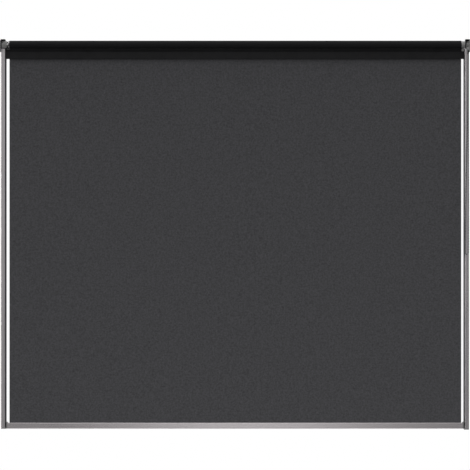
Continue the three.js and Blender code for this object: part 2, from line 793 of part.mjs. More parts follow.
// Assembly: chain. The stretches meet 0.3 mm apart.
const chainLength = chainCurve.getLength();
part.add(piece("chain_front_strand", chainStretch(0, BEND_FROM, 24), "chain"));
part.add(piece("chain_bend", chainStretch(BEND_FROM + GAP, BEND_TO, 10), "chain"));
part.add(piece("chain_rear_strand", chainStretch(BEND_TO + GAP, SPROCKET_FROM, 26), "chain"));
part.add(piece("chain_over_sprocket", chainStretch(SPROCKET_FROM + GAP, chainLength, 14), "chain"));
part.add(piece("chain_connector", chainConnector(), "darkPlastic"));

export default part;
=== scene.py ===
"""Looks of a guided roller blind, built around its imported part. Metres, +Z up, the front faces -Y."""

import json
import math
import random

import bmesh
import bpy
import numpy as np
from mathutils import Matrix, Vector


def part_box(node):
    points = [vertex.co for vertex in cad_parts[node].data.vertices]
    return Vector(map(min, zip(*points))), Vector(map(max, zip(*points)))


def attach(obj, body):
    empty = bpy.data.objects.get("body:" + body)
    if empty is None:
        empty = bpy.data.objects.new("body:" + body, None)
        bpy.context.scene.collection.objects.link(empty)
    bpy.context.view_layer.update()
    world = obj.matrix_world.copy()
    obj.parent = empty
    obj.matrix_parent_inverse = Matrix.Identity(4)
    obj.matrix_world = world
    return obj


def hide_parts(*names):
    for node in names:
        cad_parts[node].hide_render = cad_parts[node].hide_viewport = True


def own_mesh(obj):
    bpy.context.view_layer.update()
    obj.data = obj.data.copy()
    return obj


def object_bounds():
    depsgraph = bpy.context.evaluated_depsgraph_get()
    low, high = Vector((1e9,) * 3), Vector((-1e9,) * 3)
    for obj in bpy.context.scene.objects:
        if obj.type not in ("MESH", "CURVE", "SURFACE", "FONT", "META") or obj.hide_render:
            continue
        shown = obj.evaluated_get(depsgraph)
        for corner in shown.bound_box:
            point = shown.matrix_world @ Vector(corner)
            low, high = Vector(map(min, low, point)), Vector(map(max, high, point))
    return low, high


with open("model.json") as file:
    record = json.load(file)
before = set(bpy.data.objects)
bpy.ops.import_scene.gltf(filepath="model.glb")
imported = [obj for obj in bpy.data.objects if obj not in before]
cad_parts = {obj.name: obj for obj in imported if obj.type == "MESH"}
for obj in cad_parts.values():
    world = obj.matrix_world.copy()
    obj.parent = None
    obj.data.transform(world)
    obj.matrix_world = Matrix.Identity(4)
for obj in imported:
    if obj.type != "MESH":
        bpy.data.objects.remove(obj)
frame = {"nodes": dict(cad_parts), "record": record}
CAD_LOW, CAD_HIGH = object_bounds()
NODES = frame["nodes"]
MM = 0.001
SIDES = {"left": -1, "right": 1}


# --- Places taken from the frame ------------------------------------------------------------------

def low(node):
    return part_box(node)[0]


def high(node):
    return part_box(node)[1]


def middle(node):
    return (low(node) + high(node)) / 2


AXIS = middle("fabric_roll")  # on the roller's axis, at the middle of the roll
CLOTH_HALF = (high("fabric_drop").x - low("fabric_drop").x) / 2
CLOTH_X = middle("fabric_drop").x
CLOTH_Y = middle("fabric_drop").y
CLOTH_TOP = high("fabric_drop").z
CLOTH_FOOT = low("fabric_drop").z
GUIDE_FRONT = low("guide_left").y


# --- Camera ---------------------------------------------------------------------------------------

SEEN_WIDTH = 1.8077  # what the frame spans at the guides' front faces
SEEN_HEIGHT = -0.7323  # the height that the camera looks at
LENS = 300.0
SENSOR = 36.0


def make_camera():
    data = bpy.data.cameras.new("camera")
    data.lens = LENS
    data.sensor_width = SENSOR
    data.clip_end = 100.0
    camera = bpy.data.objects.new("camera", data)
    distance = SEEN_WIDTH * LENS / SENSOR
    camera.location = (0.0, GUIDE_FRONT - distance, SEEN_HEIGHT)
    camera.rotation_euler = (math.pi / 2, 0.0, 0.0)
    bpy.context.scene.collection.objects.link(camera)
    bpy.context.scene.camera = camera


# --- Mesh helpers ---------------------------------------------------------------------------------

def smooth_mesh(name, points, faces, sharp_degrees):
    """A mesh from plain lists, facing outward, smooth but for edges sharper than that angle."""
    mesh = bpy.data.meshes.new(name)
    mesh.from_pydata([tuple(p) for p in points], [], [tuple(f) for f in faces])
    mesh.validate()
    shell = bmesh.new()
    shell.from_mesh(mesh)
    bmesh.ops.recalc_face_normals(shell, faces=shell.faces)
    shell.to_mesh(mesh)
    shell.free()
    mesh.polygons.foreach_set("use_smooth", [True] * len(mesh.polygons))
    mesh.set_sharp_from_angle(angle=math.radians(sharp_degrees))
    return mesh


def mesh_object(name, points, faces, sharp_degrees=35.0):
    mesh = smooth_mesh(name, points, faces, sharp_degrees)
    obj = bpy.data.objects.new(name, mesh)
    bpy.context.scene.collection.objects.link(obj)
    return obj


class Builder:
    """Collects the points and faces of a piece that is made of several closed forms."""

    def __init__(self):
        self.points = []
        self.faces = []

    def add(self, points, faces):
        start = len(self.points)
        self.points += [tuple(p) for p in points]
        self.faces += [tuple(start + i for i in face) for face in faces]
        return self

    def grid(self, rows, closed_rows=False, closed_columns=False, caps=False):
        """Faces between rows of points, each row as long as the next."""
        start = len(self.points)
        height, width = len(rows), len(rows[0])
        self.points += [tuple(p) for row in rows for p in row]
        for i in range(height if closed_rows else height - 1):
            for j in range(width if closed_columns else width - 1):
                a = start + i * width
                b = start + (i + 1) % height * width
                k = (j + 1) % width
                self.faces.append((a + j, a + k, b + k, b + j))
        if caps:
            self.faces.append(tuple(start + j for j in reversed(range(width))))
            last = start + (height - 1) * width
            self.faces.append(tuple(last + j for j in range(width)))
        return self

    def lathe(self, profile, centre, sides=96):
        """A closed (x, r) profile turned about an axis along X."""
        ring = [2 * math.pi * i / sides for i in range(sides)]
        rows = [
            [(x, centre.y + r * math.cos(a), centre.z + r * math.sin(a)) for x, r in profile]
            for a in ring
        ]
        return self.grid(rows, closed_rows=True, closed_columns=True)

    def made(self, name, sharp_degrees=35.0):
        return mesh_object(name, self.points, self.faces, sharp_degrees)


def round_edges(obj, width, segments=2, angle=35.0):
    bevel = obj.modifiers.new("edges", "BEVEL")
    bevel.width = width
    bevel.segments = segments
    bevel.limit_method = "ANGLE"
    bevel.angle_limit = math.radians(angle)
    bevel.harden_normals = True
    bevel.miter_outer = "MITER_ARC"
    return obj


def place(obj, body, slot, material, *replaced):
    """A finished piece: its material, what it moves with and what it stands for."""
    obj.data.materials.clear()
    obj.data.materials.append(material)
    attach(obj, body)
    if replaced:
        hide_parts(*replaced)
    return obj


# --- Materials ------------------------------------------------------------------------------------

class Shader:
    """A material's node tree, with short ways to add the nodes that every material here uses."""

    def __init__(self, name, roughness, metallic=0.0, specular=0.5):
        self.material = bpy.data.materials.new(name)
        self.material.use_nodes = True
        self.tree = self.material.node_tree
        self.bsdf = self.tree.nodes["Principled BSDF"]
        self.bsdf.inputs["Roughness"].default_value = roughness
        self.bsdf.inputs["Metallic"].default_value = metallic
        self.bsdf.inputs["Specular IOR Level"].default_value = specular
        self.place = self.node("ShaderNodeTexCoord").outputs["Object"]

    def node(self, kind, **settings):
        made = self.tree.nodes.new(kind)
        for key, value in settings.items():
            setattr(made, key, value)
        return made

    def link(self, start, end):
        self.tree.links.new(start, end)
        return end

    def scaled(self, x, y, z):
        """The object's own coordinates, stretched along each axis."""
        mapping = self.node("ShaderNodeMapping")
        mapping.inputs["Scale"].default_value = (x, y, z)
        self.link(self.place, mapping.inputs["Vector"])
        return mapping.outputs["Vector"]

    def noise(self, vector, scale=1.0, detail=3.0, roughness=0.55):
        made = self.node("ShaderNodeTexNoise")
        made.inputs["Scale"].default_value = scale
        made.inputs["Detail"].default_value = detail
        made.inputs["Roughness"].default_value = roughness
        self.link(vector, made.inputs["Vector"])
        return made.outputs["Fac"]

    def bands(self, direction, scale, distortion=0.0):
        made = self.node("ShaderNodeTexWave", wave_type="BANDS", bands_direction=direction)
        made.inputs["Scale"].default_value = scale
        made.inputs["Distortion"].default_value = distortion
        self.link(self.place, made.inputs["Vector"])
        return made.outputs["Fac"]

    def ramp(self, value, stops):
        """A value turned into a colour through (place, (r, g, b)) stops."""
        made = self.node("ShaderNodeValToRGB")
        elements = made.color_ramp.elements
        while len(elements) < len(stops):
            elements.new(0.5)
        for element, (at, colour) in zip(elements, stops):
            element.position = at
            element.color = (*colour, 1.0)
        self.link(value, made.inputs["Fac"])
        return made.outputs["Color"]

    def maths(self, operation, a, b):
        made = self.node("ShaderNodeMath", operation=operation)
        for socket, value in zip(made.inputs, (a, b)):
            if isinstance(value, (int, float)):
                socket.default_value = value
            else:
                self.link(value, socket)
        return made.outputs["Value"]

    def remap(self, value, from_low, from_high, to_low, to_high):
        made = self.node("ShaderNodeMapRange")
        for key, number in (("From Min", from_low), ("From Max", from_high),
                            ("To Min", to_low), ("To Max", to_high)):
            made.inputs[key].default_value = number
        self.link(value, made.inputs["Value"])
        return made.outputs["Result"]

    def colour(self, socket):
        self.link(socket, self.bsdf.inputs["Base Color"])

    def rough(self, value, smoothest, roughest):
        self.link(self.remap(value, 0.3, 0.7, smoothest, roughest), self.bsdf.inputs["Roughness"])

    def bump(self, height, distance, strength=1.0):
        made = self.node("ShaderNodeBump")
        made.inputs["Distance"].default_value = distance
        made.inputs["Strength"].default_value = strength
        self.link(height, made.inputs["Height"])
        if self.bsdf.inputs["Normal"].is_linked:
            self.link(self.bsdf.inputs["Normal"].links[0].from_socket, made.inputs["Normal"])
        self.link(made.outputs["Normal"], self.bsdf.inputs["Normal"])


def shades(colour, spread):
    """A darker and a lighter neighbour of a colour, as ramp stops round the middle of a noise."""
    darker = tuple(c * (1 - spread) for c in colour)
    lighter = tuple(min(1.0, c * (1 + spread)) for c in colour)
    return [(0.3, darker), (0.7, lighter)]


def extruded_metal(name, colour, along, roughness=(0.24, 0.33)):
    """Satin anodised aluminium with the faint drawn lines of its extrusion running along one axis."""
    shader = Shader(name, roughness[0], metallic=1.0)
    fine = {"X": (4, 1500, 1500), "Z": (1500, 1500, 4)}[along]
    broad = {"X": (1.2, 160, 160), "Z": (160, 160, 1.2)}[along]
    lines = shader.noise(shader.scaled(*fine), detail=4.0)
    bands = shader.noise(shader.scaled(*broad), detail=2.0)
    grain = shader.noise(shader.place, scale=9000.0, detail=2.0)
    mixed = shader.maths("ADD", shader.maths("MULTIPLY", lines, 0.6), shader.maths("MULTIPLY", bands, 0.4))
    shader.colour(shader.ramp(mixed, shades(colour, 0.07)))
    shader.rough(mixed, *roughness)
    shader.bump(lines, 0.02 * MM, 0.5)
    shader.bump(grain, 0.01 * MM, 0.4)
    return shader.material


def powder_coat(name, colour):
    """Black powder coat: a fine orange peel with dust-dull patches."""
    shader = Shader(name, 0.5, specular=0.1)
    peel = shader.noise(shader.place, scale=1400.0, detail=2.0)
    patches = shader.noise(shader.place, scale=35.0, detail=4.0)
    shader.colour(shader.ramp(patches, shades(colour, 0.16)))
    shader.rough(patches, 0.42, 0.58)
    shader.bump(peel, 0.05 * MM, 0.6)
    return shader.material


def moulded(name, colour, roughness=(0.4, 0.52), specular=0.45):
    """Injection-moulded plastic with a fine spark-eroded grain and slight flow clouding."""
    shader = Shader(name, roughness[0], specular=specular)
    grain = shader.noise(shader.place, scale=4200.0, detail=3.0)
    clouds = shader.noise(shader.place, scale=90.0, detail=3.0)
    shader.colour(shader.ramp(clouds, shades(colour, 0.08)))
    shader.rough(clouds, *roughness)
    shader.bump(grain, 0.03 * MM, 0.6)
    return shader.material


def plated_steel(name, colour):
    """Zinc-plated steel: cloudy, with fine turning marks."""
    shader = Shader(name, 0.3, metallic=1.0)
    clouds = shader.noise(shader.place, scale=260.0, detail=5.0)
    marks = shader.noise(shader.place, scale=3500.0, detail=3.0)
    shader.colour(shader.ramp(clouds, shades(colour, 0.12)))
    shader.rough(clouds, 0.22, 0.4)
    shader.bump(marks, 0.02 * MM, 0.5)
    return shader.material


THREAD = 0.45 * MM  # pitch of the weave


def woven(name, colour, spread, relief, specular, sheen=0.0):
    """A plain weave: warp and weft ribs that cross at the thread pitch, with slubs along each thread."""
    shader = Shader(name, 0.85, specular=specular)
    turns = math.pi / (10.0 * THREAD)  # the wave texture repeats every pi / 10 / scale
    warp = shader.bands("X", turns)
    weft = shader.bands("Z", turns)
    crossing = shader.maths("MULTIPLY", warp, weft)
    slub_across = shader.noise(shader.scaled(60, 60, 1400), detail=3.0)
    slub_down = shader.noise(shader.scaled(1400, 60, 60), detail=3.0)
    slubs = shader.maths("MULTIPLY", shader.maths("ADD", slub_across, slub_down), 0.5)
    mottle = shader.noise(shader.place, scale=150.0, detail=5.0, roughness=0.65)
    tone = shader.maths("ADD", shader.maths("MULTIPLY", slubs, 0.4), shader.maths("MULTIPLY", mottle, 0.45))
    tone = shader.maths("ADD", tone, shader.maths("MULTIPLY", crossing, 0.15))
    darker = tuple(c * (1 - spread) for c in colour)
    lighter = tuple(c * (1 + spread) for c in colour)
    shader.colour(shader.ramp(tone, [(0.28, darker), (0.62, lighter)]))
    shader.bump(crossing, relief, 0.8)
    shader.bump(slubs, relief, 0.6)
    shader.bsdf.inputs["Sheen Weight"].default_value = sheen
    shader.bsdf.inputs["Sheen Roughness"].default_value = 0.5
    return shader.material


def pile(name, colour):
    """Short dense fibre pile of the guides' seals."""
    shader = Shader(name, 0.95, specular=0.1)
    fibres = shader.noise(shader.scaled(2500, 300, 2500), detail=3.0)
    clumps = shader.noise(shader.place, scale=500.0, detail=3.0)
    shader.colour(shader.ramp(clumps, shades(colour, 0.3)))
    shader.bump(fibres, 0.15 * MM, 0.9)
    return shader.material


def make_looks():
    return {
        "guide": extruded_metal("guide_aluminium", (0.72, 0.69, 0.705), "Z"),
        "rail": extruded_metal("rail_aluminium", (0.78, 0.735, 0.75), "X"),
        "hidden_rail": extruded_metal("carrier_aluminium", (0.34, 0.33, 0.335), "X"),
        "black": powder_coat("black_powder_coat", (0.017, 0.017, 0.018)),
        "grey": moulded("grey_moulding", (0.26, 0.258, 0.256), (0.26, 0.36)),
        "dark": moulded("dark_moulding", (0.012, 0.012, 0.013), (0.4, 0.52), 0.15),
        "bead": moulded("bead_plastic", (0.12, 0.12, 0.125), (0.3, 0.4)),
        "steel": plated_steel("plated_steel", (0.6, 0.6, 0.61)),
        "cloth": woven("blind_weave", (0.073, 0.073, 0.0775), 0.5, 0.06 * MM, 0.08),
        "back": woven("coated_weave", (0.016, 0.016, 0.017), 0.25, 0.03 * MM, 0.02),
        "pile": pile("seal_pile", (0.2, 0.2, 0.205)),
    }


# --- Chain ----------------------------------------------------------------------------------------

CHAIN_D = 4.5 * MM
BEAD_PITCH = 6.0 * MM
CORD_R = 0.75 * MM
CHAIN_ROUTE = [
    (0.896, -0.0362, -0.0366),
    (0.896, -0.0362, -0.08),
    (0.895, -0.036, -0.18),
    (0.893, -0.0355, -0.3),
    (0.89, -0.034, -0.43),
    (0.8875, -0.0315, -0.56),
    (0.886, -0.0295, -0.68),
    (0.885, -0.0285, -0.796),
    (0.8855, -0.0285, -0.802),
    (0.888, -0.0285, -0.8058),
    (0.8913, -0.0285, -0.807),
    (0.8946, -0.0285, -0.8058),
    (0.897, -0.0285, -0.802),
    (0.8975, -0.0285, -0.796),
    (0.898, -0.0283, -0.68),
    (0.898, -0.0273, -0.56),
    (0.8975, -0.026, -0.43),
    (0.8965, -0.0253, -0.3),
    (0.8955, -0.0253, -0.18),
    (0.896, -0.0258, -0.08),
    (0.896, -0.026, -0.016),
    (0.896, -0.0187, -0.0055),
    (0.896, -0.0171, 0.0),
    (0.896, -0.0184, 0.005),
    (0.896, -0.0218, 0.0083),
    (0.896, -0.0266, 0.0096),
    (0.896, -0.0314, 0.0083),
    (0.896, -0.0348, 0.005),
    (0.896, -0.0362, -0.002),
    (0.896, -0.0362, -0.0242),
]


def through(points, steps=40):
    """A centripetal Catmull-Rom curve through the points, which the chain's solids follow too."""
    given = [np.array(p) for p in points]
    whole = [2 * given[0] - given[1], *given, 2 * given[-1] - given[-2]]
    line = []
    for a, b, c, d in zip(whole, whole[1:], whole[2:], whole[3:]):
        first, second, third = (np.linalg.norm(q - p) ** 0.5 for p, q in ((a, b), (b, c), (c, d)))
        start = (b - a) / first - (c - a) / (first + second) + (c - b) / second
        end = (c - b) / second - (d - b) / (second + third) + (d - c) / third
        start, end = start * second, end * second
        for k in range(steps):
            t = k / steps
            line.append(
                b * (2 * t**3 - 3 * t**2 + 1) + start * (t**3 - 2 * t**2 + t)
                + c * (3 * t**2 - 2 * t**3) + end * (t**3 - t**2)
            )
    line.append(given[-1])
    return np.array(line)


def evenly(line, spacing):
    """Points a fixed distance apart along a line, with the distance rounded to fit its length."""
    along = np.concatenate([[0], np.cumsum(np.linalg.norm(np.diff(line, axis=0), axis=1))])
    count = round(along[-1] / spacing)
    at = np.linspace(0, along[-1], count + 1)
    return np.stack([np.interp(at, along, line[:, k]) for k in range(3)], axis=1), along[-1]


def frames_along(line):
    """A pair of directions across the line at each of its points, carried along without twist."""
    ahead = np.gradient(line, axis=0)
    ahead /= np.linalg.norm(ahead, axis=1)[:, None]
    side = np.cross(ahead[0], (0, 1, 0))
    pairs = []
    for direction in ahead:
        side = side - direction * side.dot(direction)
        side /= np.linalg.norm(side)
        pairs.append((side, np.cross(direction, side), direction))
    return pairs


def add_tube(builder, line, radius, sides):
    rows = []
    for point, (side, other, _) in zip(line, frames_along(line)):
        turns = [2 * math.pi * k / sides for k in range(sides)]
        rows.append([point + radius * (side * math.cos(a) + other * math.sin(a)) for a in turns])
    builder.grid(rows, closed_columns=True, caps=True)


BEAD_RINGS = 9
BEAD_SIDES = 14


def add_bead(builder, centre, directions):
    """A moulded bead with a small collar at each end, where it grips the cord."""
    side, other, ahead = directions
    rows = []
    radius = CHAIN_D / 2
    for i in range(BEAD_RINGS + 1):
        angle = math.pi * (0.07 + 0.86 * i / BEAD_RINGS)
        reach, ring = -radius * math.cos(angle), radius * math.sin(angle)
        turns = [2 * math.pi * k / BEAD_SIDES for k in range(BEAD_SIDES)]
        row = [centre + ahead * reach + ring * (side * math.cos(a) + other * math.sin(a)) for a in turns]
        rows.append(row)
    builder.grid(rows, closed_columns=True, caps=True)


def make_chain(looks):
    route = through(CHAIN_ROUTE)
    centres, length = evenly(route, BEAD_PITCH)
    fine, _ = evenly(route, 1.5 * MM)
    builder = Builder()
    add_tube(builder, fine, CORD_R, 8)
    for centre, directions in zip(centres, frames_along(centres)):
        add_bead(builder, centre, directions)
    chain = builder.made("bead_chain", 60.0)
    strands = ("chain_front_strand", "chain_bend", "chain_rear_strand", "chain_over_sprocket")
    place(chain, "frame", "bead_chain", looks["bead"], *strands)
    joiner = make_joiner(looks)


def make_joiner(looks):
    """The chain's connector: a barrel with a waist, a collar at each end and a slit to snap a bead in."""
    bottom, top = low("chain_connector"), high("chain_connector")
    centre = (bottom + top) / 2
    radius = (top.x - bottom.x) / 2
    half = (top.z - bottom.z) / 2
    profile = [(-1, 0.3), (-1, 0.7), (-0.93, 0.82), (-0.8, 1), (-0.62, 1), (-0.52, 0.88), (0.52, 0.88),
               (0.62, 1), (0.8, 1), (0.93, 0.82), (1, 0.7), (1, 0.3)]
    sides = 40
    slit = 0.3  # radians to either side of the front
    rows = []
    for k in range(sides):
        angle = 2 * math.pi * k / sides
        off_front = abs((angle - 1.5 * math.pi + math.pi) % (2 * math.pi) - math.pi)
        sunk = 0.72 if off_front < slit else 1.0
        ring = []
        for h, r in profile:
            reach = radius * r * (sunk if abs(h) < 0.7 else 1.0)
            ring.append((centre.x + reach * math.cos(angle), centre.y + reach * math.sin(angle),
                         centre.z + half * h))
        rows.append(ring)
    builder = Builder()
    builder.grid(rows, closed_rows=True, closed_columns=True)
    joiner = builder.made("chain_joiner")
    return place(joiner, "frame", "dark_plastic", looks["dark"], "chain_connector")


# --- Cloth ----------------------------------------------------------------------------------------

CLOTH_T = 0.4 * MM  # the hanging sheet, front face to back
LAYER = 0.3 * MM  # from one layer of the roll to the next
LAYERS = 1.6
WOUND_HALF = 0.34 * CLOTH_T  # half a wound layer, thin enough to clear the layer under it
TIGHTEN = 0.4 * MM  # how much the outer layer draws in over its first quarter turn
EDGE_STRAY = 0.25 * MM  # how far an edge strays as it winds
FADE = 0.08  # share of the drop over which its waves die away at the roll and at the rail
BROAD_WAVE, FINE_WAVE, EDGE_CURL = 0.45, 0.2, 0.5  # millimetres
CURL_STARTS = 0.93  # share of the half width


def make_roll(looks):
    """The cloth wound on the tube, as the spiral that it is, its outer end where the drop leaves."""
    rng = np.random.default_rng(7)
    outer = CLOTH_Y - AXIS.y
    steps = int(LAYERS * 96)
    turns = np.linspace(0, LAYERS * 2 * math.pi, steps + 1)
    along = np.linspace(-CLOTH_HALF, CLOTH_HALF, 41)
    wander = EDGE_STRAY * np.sin(turns * 0.9 + rng.uniform(0, 6))
    rows = []
    for x in along:
        share = x / CLOTH_HALF
        ripple = 0.02 * MM * math.sin(x * 41.0) + 0.015 * MM * math.sin(x * 97.0)
        ring_out, ring_in = [], []
        for turn, stray in zip(turns, wander):
            drawn = min(1.0, turn / (math.pi / 2))
            radius = outer - LAYER * turn / (2 * math.pi) - TIGHTEN * drawn + ripple * drawn
            shift = stray * abs(share) ** 30 * math.copysign(1, share) - EDGE_STRAY * share**31
            place_x = CLOTH_X + x + shift
            for ring, offset in ((ring_out, WOUND_HALF), (ring_in, -WOUND_HALF)):
                reach = radius + offset
                ring.append((place_x, AXIS.y + reach * math.cos(turn), AXIS.z + reach * math.sin(turn)))
        rows.append(ring_out + ring_in[::-1])
    builder = Builder()
    builder.grid(rows, closed_columns=True, caps=False)
    width = len(rows[0])
    for start, flip in ((0, False), ((len(rows) - 1) * width, True)):
        for k in range(steps):
            face = (start + k, start + k + 1, start + width - 2 - k, start + width - 1 - k)
            builder.faces.append(face[::-1] if flip else face)
    roll = builder.made("cloth_roll", 50.0)
    return place(roll, "roller", "fabric_backing", looks["back"], "fabric_roll")


def make_drop(looks):
    """The hanging cloth, with the slight waves and edge curl that a blind this wide settles into."""
    across = np.linspace(-1, 1, 121)
    down = np.linspace(0, 1, 141)
    rows = {1: [], -1: []}
    for d in down:
        z = CLOTH_TOP + (CLOTH_FOOT - CLOTH_TOP) * d
        held = min(1.0, d / FADE, (1 - d) / FADE)
        held = held * held * (3 - 2 * held)
        for face in rows:
            row = []
            for a in across:
                wave = BROAD_WAVE * math.sin(2.1 * math.pi * a + 0.6) * math.sin(math.pi * d)
                wave += FINE_WAVE * math.sin(5.3 * math.pi * a + 1.9 * d)
                curl = EDGE_CURL * max(0.0, (abs(a) - CURL_STARTS) / (1 - CURL_STARTS)) ** 2
                y = CLOTH_Y + held * MM * (wave + curl) - face * CLOTH_T / 2
                row.append((CLOTH_X + a * CLOTH_HALF, y, z))
            rows[face].append(row)
    front, back = rows[1], rows[-1]
    builder = Builder()
    builder.grid([f + b[::-1] for f, b in zip(front, back)], closed_columns=True)
    width = 2 * len(across)
    for start, flip in ((0, True), ((len(down) - 1) * width, False)):
        for k in range(len(across) - 1):
            face = (start + k, start + k + 1, start + width - 2 - k, start + width - 1 - k)
            builder.faces.append(face[::-1] if flip else face)
    drop = builder.made("cloth_drop", 50.0)
    drop.data.materials.append(looks["cloth"])
    drop.data.materials.append(looks["back"])
    for polygon in drop.data.polygons:
        polygon.material_index = 1 if polygon.normal.y > 0.5 else 0
    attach(drop, "frame")
    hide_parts("fabric_drop")
    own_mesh(drop)
    return drop


# --- Turned and moulded pieces --------------------------------------------------------------------

def make_tube(looks):
    """The roller tube, round and open-ended, with the keyway that holds the cloth's spline."""
    lowest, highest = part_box("roller_tube")
    radius = (highest.z - lowest.z) / 2
    outer, wall = radius, 1.2 * MM
    half_slot, depth, lips = 2.2 * MM, 2.8 * MM, 1.1 * MM
    steps = 110
    gap_out = math.asin(half_slot / outer)
    gap_in = math.asin((half_slot + lips) / (outer - wall))
    section = []
    for k in range(steps + 1):
        a = math.pi / 2 + gap_out + (2 * math.pi - 2 * gap_out) * k / steps
        section.append((AXIS.y + outer * math.cos(a), AXIS.z + outer * math.sin(a)))
    floor_z = AXIS.z + outer - depth
    section += [(AXIS.y + half_slot, floor_z), (AXIS.y - half_slot, floor_z)]
    inner = []
    for k in range(steps + 1):
        a = math.pi / 2 + gap_in + (2 * math.pi - 2 * gap_in) * k / steps
        inner.append((AXIS.y + (outer - wall) * math.cos(a), AXIS.z + (outer - wall) * math.sin(a)))
    inner_floor = floor_z - wall
    inner += [(AXIS.y + half_slot + lips, inner_floor), (AXIS.y - half_slot - lips, inner_floor)]
    builder = Builder()
    xs = (lowest.x, highest.x)
    count = len(section)
    rings = []
    for x in xs:
        for ring in (section, inner):
            rings.append(len(builder.points))
            builder.points += [(x, y, z) for y, z in ring]
    out_a, in_a, out_b, in_b = rings
    for k in range(count):
        n = (k + 1) % count
        builder.faces.append((out_a + k, out_a + n, out_b + n, out_b + k)[::-1])
        builder.faces.append((in_a + k, in_a + n, in_b + n, in_b + k))
        builder.faces.append((out_a + k, out_a + n, in_a + n, in_a + k))
        builder.faces.append((out_b + k, out_b + n, in_b + n, in_b + k)[::-1])
    tube = builder.made("tube_extrusion", 30.0)
    return place(tube, "roller", "anodised_aluminium", looks["hidden_rail"], "roller_tube")


def fluted(builder, x0, x1, radius, bore, flutes, depth, chamfer):
    """A grip ring: a turned collar whose rim has rounded flutes."""
    sides = flutes * 8
    rows = []
    for k in range(sides):
        angle = 2 * math.pi * k / sides
        dip = depth * (0.5 - 0.5 * math.cos(angle * flutes)) ** 2
        rim = radius - dip
        profile = [(x0, bore), (x0, radius - chamfer - depth), (x0 + chamfer, rim), (x1 - chamfer, rim),
                   (x1, radius - chamfer - depth), (x1, bore)]
        rows.append([(x, AXIS.y + r * math.cos(angle), AXIS.z + r * math.sin(angle)) for x, r in profile])
    builder.grid(rows, closed_rows=True, closed_columns=True)


def make_drive_plug(looks):
    """Drive plug: a ribbed body pressed in the tube and a fluted collar outside it."""
    lowest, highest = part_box("drive_plug")
    tube_end = high("roller_tube").x
    collar_r = 13.0 * MM
    bore = 8.6 * MM
    builder = Builder()
    fluted(builder, tube_end + 0.3 * MM, highest.x, collar_r, bore, 36, 0.45 * MM, 0.8 * MM)
    body_r = 12.5 * MM
    grooves = []
    x = lowest.x
    pitch = 6.0 * MM
    while x < tube_end - pitch:
        grooves += [(x, body_r - 0.5 * MM), (x + 0.5 * MM, body_r), (x + pitch - 1.2 * MM, body_r),
                    (x + pitch - 0.7 * MM, body_r - 0.5 * MM)]
        x += pitch
    end = tube_end + 0.8 * MM
    keyed = [(lowest.x, bore), *grooves, (end, body_r - 0.5 * MM), (end, bore)]
    keyway(builder, keyed)
    plug = builder.made("drive_plug_moulding", 30.0)
    return place(plug, "roller", "grey_plastic", looks["grey"], "drive_plug")


def keyway(builder, profile, sides=96):
    """A turned body with a flat-bottomed channel at the top, where the tube's keyway passes."""
    half = 3.6 * MM
    floor_z = 9.7 * MM
    rows = []
    for k in range(sides):
        angle = 2 * math.pi * k / sides
        row = []
        for x, r in profile:
            y, z = r * math.cos(angle), r * math.sin(angle)
            if abs(y) < half and z > floor_z:
                z = floor_z
            row.append((x, AXIS.y + y, AXIS.z + z))
        rows.append(row)
    builder.grid(rows, closed_rows=True, closed_columns=True)


